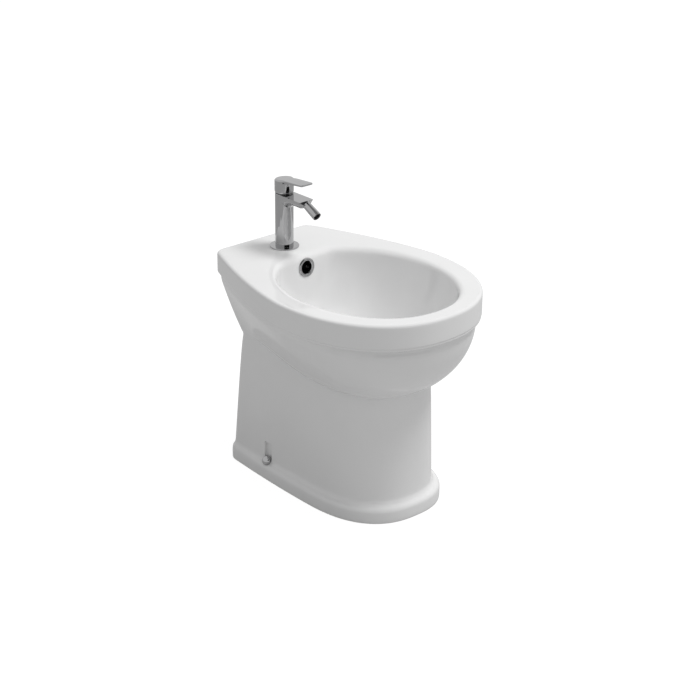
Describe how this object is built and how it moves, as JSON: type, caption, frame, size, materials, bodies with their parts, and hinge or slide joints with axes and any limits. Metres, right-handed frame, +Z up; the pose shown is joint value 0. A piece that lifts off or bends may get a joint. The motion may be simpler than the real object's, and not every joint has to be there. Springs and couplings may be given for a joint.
{
  "type": "floor standing bidet",
  "caption": "White glazed floor standing bidet with an oval basin on a hollow pedestal, a chrome lever mixer with a swivelling nozzle, a press-down waste plug and floor fixings.",
  "frame": {"origin": "on the floor, under the middle of the rim's length, in the plane of symmetry", "axes": "+Z up, +Y towards the wall behind the tap, -Y towards the front of the basin, +X to the right seen from the front"},
  "size_m": [0.366, 0.49, 0.5323],
  "materials": {
    "china": "glossy white glaze",
    "chrome": "polished",
    "brass": "machined",
    "steel": "zinc plated or stainless",
    "rubber": "matt",
    "dark_plastic": "matt",
    "grey_plastic": "matt",
    "white_plastic": "matt",
    "disc_ceramic": "lapped"
  },
  "bodies": {
    "stand": {"ceramic_body": "china", "tap_base_seal": "rubber", "tap_base_ring": "chrome", "tap_body": "chrome", "cartridge_seals": "rubber", "cartridge_case": "white_plastic", "fixed_disc": "disc_ceramic", "cartridge_nut": "brass", "glide_ring": "dark_plastic", "nozzle_ball_stud": "chrome", "tap_stud": "steel", "tap_rubber_saddle": "rubber", "tap_steel_saddle": "steel", "tap_stud_nut": "brass", "waste_body": "chrome", "waste_upper_seal": "rubber", "waste_lower_seal": "rubber", "waste_back_nut": "brass", "plug_latch": "dark_plastic", "plug_spring": "steel", "overflow_ring": "chrome", "fixing_brackets": "white_plastic", "fixing_screws": "steel", "fixing_washers": "white_plastic", "fixing_caps": "chrome"},
    "lever_turret": {"spindle_carrier": "grey_plastic", "lever_pivot_pin": "steel"},
    "valve_disc": {"moving_disc": "disc_ceramic"},
    "lever": {"lever_stem": "steel", "lever_handle": "chrome", "lever_grub_screw": "steel", "lever_plug": "dark_plastic"},
    "nozzle_swivel": {"nozzle_collar": "dark_plastic"},
    "nozzle": {"nozzle_housing": "chrome", "nozzle_seat_ring": "white_plastic", "nozzle_seal": "rubber", "aerator_insert": "dark_plastic"},
    "plug": {"plug_spindle": "steel", "plug_cap": "chrome", "plug_seal": "rubber"}
  },
  "joints": [
    {"name": "lever_swing", "type": "hinge", "parent": "stand", "child": "lever_turret", "pos_m": [0, 0.1805, 0.4855], "axis": [0, 0, 1], "range_deg": [-45, 45]},
    {"name": "lever_lift", "type": "hinge", "parent": "lever_turret", "child": "lever", "pos_m": [0, 0.1805, 0.4855], "axis": [-1, 0, 0], "range_deg": [0, 18]},
    {"name": "disc_slide", "type": "slide", "parent": "lever_turret", "child": "valve_disc", "axis": [0, -1, 0], "range_m": [0, 0.0021]},
    {"name": "nozzle_spin", "type": "hinge", "parent": "stand", "child": "nozzle_swivel", "pos_m": [0, 0.11671, 0.49255], "axis": [0, -0.891, -0.454], "range_deg": [-180, 180]},
    {"name": "nozzle_tilt", "type": "hinge", "parent": "nozzle_swivel", "child": "nozzle", "pos_m": [0, 0.11671, 0.49255], "axis": [1, 0, 0], "range_deg": [-15, 15]},
    {"name": "plug_push", "type": "slide", "parent": "stand", "child": "plug", "axis": [0, 0, -1], "range_m": [0, 0.006], "stiffness_N_per_m": 600, "springref_m": -0.008, "deforming": ["plug_spring"]}
  ],
  "couplings": [
    {"joint": "disc_slide", "follows": "lever_lift", "m_per_rad": 0.0065}
  ]
}
